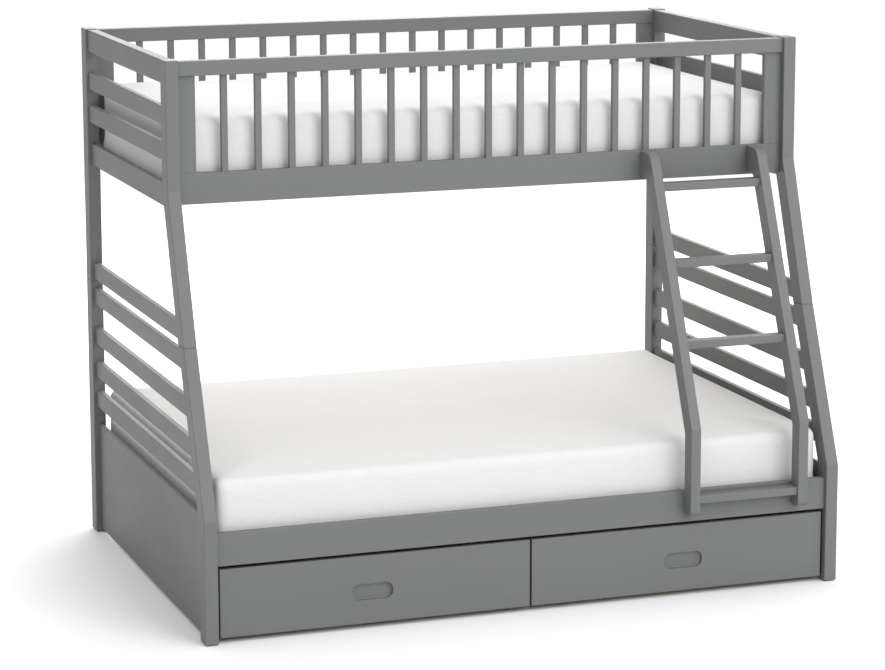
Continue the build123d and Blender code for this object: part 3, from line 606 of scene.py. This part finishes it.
def socket_bolt(number, low, high):
    """A connector bolt lying along X, with a flat head, a rounded rim and a six-sided socket."""
    sizes = bpy.context.scene.bunk_hardware
    outward = 1 if high.x > 0 else -1
    outer_x = high.x if outward > 0 else low.x
    middle = (low + high) / 2
    radius = (high.z - low.z) / 2
    bolt = rod(48, radius, sizes.head, (outer_x - outward * sizes.head / 2, middle.y, middle.z))
    bolt.name = f"socket_bolt_{number:02d}"
    bpy.ops.object.mode_set(mode="EDIT")
    bpy.ops.mesh.select_all(action="DESELECT")
    shape = bmesh.from_edit_mesh(bolt.data)
    for face in shape.faces:
        if face.normal.x * outward > 0.9:  # the outer end, with its rim
            face.select_set(True)
    bmesh.update_edit_mesh(bolt.data)
    bpy.ops.mesh.bevel(offset=sizes.rounding, segments=4, profile=0.6, affect="EDGES")
    bpy.ops.object.mode_set(mode="OBJECT")
    key = rod(6, sizes.socket, 2 * sizes.socket_depth, (outer_x, middle.y, middle.z))
    cut = bolt.modifiers.new("Socket", "BOOLEAN")
    cut.operation = "DIFFERENCE"
    cut.object = key
    cut.solver = "EXACT"
    only(bolt)
    bpy.ops.object.modifier_apply(modifier=cut.name)
    bpy.data.objects.remove(key)
    length = high.x - low.x - sizes.head
    start = outer_x - outward * sizes.head
    shank = rod(24, sizes.shank, length, (start - outward * length / 2, middle.y, middle.z))
    only(bolt)
    shank.select_set(True)
    bpy.ops.object.join()
    bpy.ops.object.shade_smooth_by_angle(angle=math.radians(35))
    return bolt


# ---------------------------------------------------------------- operators
class BUNK_OT_paint(bpy.types.Operator):
    """Spray the frame, the ladder and the drawer fronts with grey lacquer"""

    bl_idname = "bunk.paint"
    bl_label = "Paint the frame"

    def execute(self, context):
        along_x = nodes_ending("side_rail", "guard_top_rail", "drawer_front", "treads")
        along_y = nodes_ending("end_top_rail", "end_boards", "end_slats", "end_panel")
        along_z = nodes_ending("_leg", "_post", "_stile", "guard_slats", "guard_stiles")
        for axis, names in (("X", along_x), ("Y", along_y), ("Z", along_z)):
            dress(names, sprayed_lacquer(axis))
        return {"FINISHED"}


class BUNK_OT_timber(bpy.types.Operator):
    """Give the hidden timber its bare pine and plywood"""

    bl_idname = "bunk.timber"
    bl_label = "Bare timber"

    def execute(self, context):
        dress(nodes_ending("slat_cleats", "centre_beam", "drawer_back"), planed_pine("X"))
        dress(nodes_ending("bed_slats", "drawer_sides"), planed_pine("Y"))
        dress(nodes_ending("centre_beam_legs"), planed_pine("Z"))
        dress(nodes_ending("drawer_bottom"), birch_plywood())
        return {"FINISHED"}


class BUNK_OT_hardware(bpy.types.Operator):
    """Plate the pins, nuts and screws, and make the connector bolts with socket heads"""

    bl_idname = "bunk.hardware"
    bl_label = "Hardware"

    def execute(self, context):
        steel = zinc_plated_steel()
        dress(nodes_ending("_bolts", "_nuts", "_pins", "_screws"), steel)
        bolts = [socket_bolt(i, *box) for i, box in enumerate(solid_boxes("frame_bolts"), 1)]
        for bolt in bolts:
            give(bolt, steel)
            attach(bolt, "bed")
        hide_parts("frame_bolts")
        return {"FINISHED"}


class BUNK_OT_plastics(bpy.types.Operator):
    """Give the wheels, the caster forks and the foot glides their moulded plastics"""

    bl_idname = "bunk.plastics"
    bl_label = "Plastics"

    def execute(self, context):
        colours = context.scene.bunk_plastic
        wheel = moulded_plastic("wheel_nylon", colours.wheel_dark, colours.wheel_light, 0.45, 0.8 * MM)
        fork = moulded_plastic("fork_abs", colours.fork_dark, colours.fork_light, 0.5, 0.6 * MM)
        glide = moulded_plastic("glide_polythene", colours.glide_dark, colours.glide_light, 0.6, MM)
        dress(nodes_ending("_wheel"), wheel)
        dress(nodes_ending("caster_forks"), fork)
        dress(nodes_ending("foot_glides"), glide)
        return {"FINISHED"}


class BUNK_OT_mattresses(bpy.types.Operator):
    """Make the two mattresses in their white covers"""

    bl_idname = "bunk.mattresses"
    bl_label = "Mattresses"

    def execute(self, context):
        percale = white_percale()
        mattress("lower_mattress", percale)
        mattress("upper_mattress", percale)
        return {"FINISHED"}


class BUNK_OT_stage(bpy.types.Operator):
    """Set up the camera, the soft studio light and the pale floor"""

    bl_idname = "bunk.stage"
    bl_label = "Stage"

    def execute(self, context):
        stage = context.scene.bunk_stage
        level = math.cos(stage.elevation)
        view = Vector((
            -math.sin(stage.azimuth) * level, math.cos(stage.azimuth) * level, -math.sin(stage.elevation)
        ))
        camera = bpy.data.cameras.new("camera")
        camera.lens = stage.lens
        camera.shift_x, camera.shift_y = stage.shift
        camera.clip_end = CAMERA_REACH
        context.scene.camera = aimed("camera", camera, stage.camera, view)
        floor_and_sky(stage)
        softbox("key_softbox", stage.key_place, stage.key_size, stage.key_power)
        softbox("back_softbox", stage.back_place, stage.back_size, stage.back_power)
        return {"FINISHED"}


def aimed(name, data, place, direction):
    """Put a camera or a light at a place, facing a direction."""
    item = bpy.data.objects.new(name, data)
    bpy.context.scene.collection.objects.link(item)
    item.location = place
    item.rotation_mode = "QUATERNION"
    item.rotation_quaternion = direction.to_track_quat("-Z", "Y")
    return item


def floor_and_sky(stage):
    """A broad floor of matt pale paper, and a white sky, stronger overhead and on the right."""
    nothing_selected()
    bpy.ops.mesh.primitive_plane_add(size=FLOOR_SIZE, location=(0, 0, 0))
    floor = bpy.context.object
    floor.name = "floor"
    material, tree, shader = new_material("floor_paper")
    set_inputs(tree, shader, {
        "Base Color": linear(stage.floor_colour), "Roughness": 0.9, "Specular IOR Level": 0.1,
    })
    give(floor, material)
    world = bpy.data.worlds.new("studio")
    world.use_nodes = True
    tree = world.node_tree
    # for a world, Generated is the direction in the sky
    direction = add_node(tree, "ShaderNodeTexCoord").outputs["Generated"]
    height = add_node(tree, "ShaderNodeSeparateXYZ", {"Vector": direction}).outputs["Z"]
    glow = add_node(tree, "ShaderNodeMapRange", {
        "Value": height, "To Min": stage.horizon, "To Max": stage.overhead,
    })
    sideways = add_node(tree, "ShaderNodeVectorMath", {0: direction, 1: BRIGHT_SIDE},
                        operation="DOT_PRODUCT")
    side_glow = add_node(tree, "ShaderNodeMapRange", {
        "Value": sideways.outputs["Value"], "From Min": -1.0, "To Min": 0.0, "To Max": stage.bias,
    })
    total = add_node(tree, "ShaderNodeMath", {0: glow.outputs[0], 1: side_glow.outputs[0]},
                     operation="ADD")
    set_inputs(tree, tree.nodes["Background"], {"Color": (1, 1, 1, 1), "Strength": total.outputs[0]})
    bpy.context.scene.world = world
    bpy.context.scene.view_settings.view_transform = "Standard"


def softbox(name, place, size, power):
    """A square area light that faces the middle of the bed."""
    light = bpy.data.lights.new(name, "AREA")
    light.size = size
    light.energy = power
    aimed(name, light, place, BED_MIDDLE - Vector(place))


STEPS = ("stage", "paint", "timber", "hardware", "plastics", "mattresses")
SETTINGS = {
    "bunk_paint": PaintSettings,
    "bunk_timber": TimberSettings,
    "bunk_hardware": HardwareSettings,
    "bunk_plastic": PlasticSettings,
    "bunk_mattress": MattressSettings,
    "bunk_stage": StageSettings,
}


class BUNK_PT_panel(bpy.types.Panel):
    """Everything that makes the bunk bed's looks, in order"""

    bl_idname = "BUNK_PT_panel"
    bl_label = "Bunk Bed"
    bl_space_type = "VIEW_3D"
    bl_region_type = "UI"
    bl_category = "Bunk Bed"

    def draw(self, context):
        for step in STEPS:
            self.layout.operator(f"bunk.{step}")
        for name, kind in SETTINGS.items():
            group = getattr(context.scene, name)
            box = self.layout.box()
            for item in kind.__annotations__:
                box.prop(group, item)


CLASSES = (
    *SETTINGS.values(),
    BUNK_OT_paint,
    BUNK_OT_timber,
    BUNK_OT_hardware,
    BUNK_OT_plastics,
    BUNK_OT_mattresses,
    BUNK_OT_stage,
    BUNK_PT_panel,
)


def register():
    """Register the classes and hang the settings on the scene."""
    for item in CLASSES:
        bpy.utils.register_class(item)
    for name, kind in SETTINGS.items():
        setattr(bpy.types.Scene, name, bpy.props.PointerProperty(type=kind))


def unregister():
    """Take the settings and the classes away again."""
    for name in SETTINGS:
        delattr(bpy.types.Scene, name)
    for item in reversed(CLASSES):
        bpy.utils.unregister_class(item)


def main():
    """Make everything."""
    register()
    for step in STEPS:
        getattr(bpy.ops.bunk, step)()


if __name__ == "__main__":
    main()
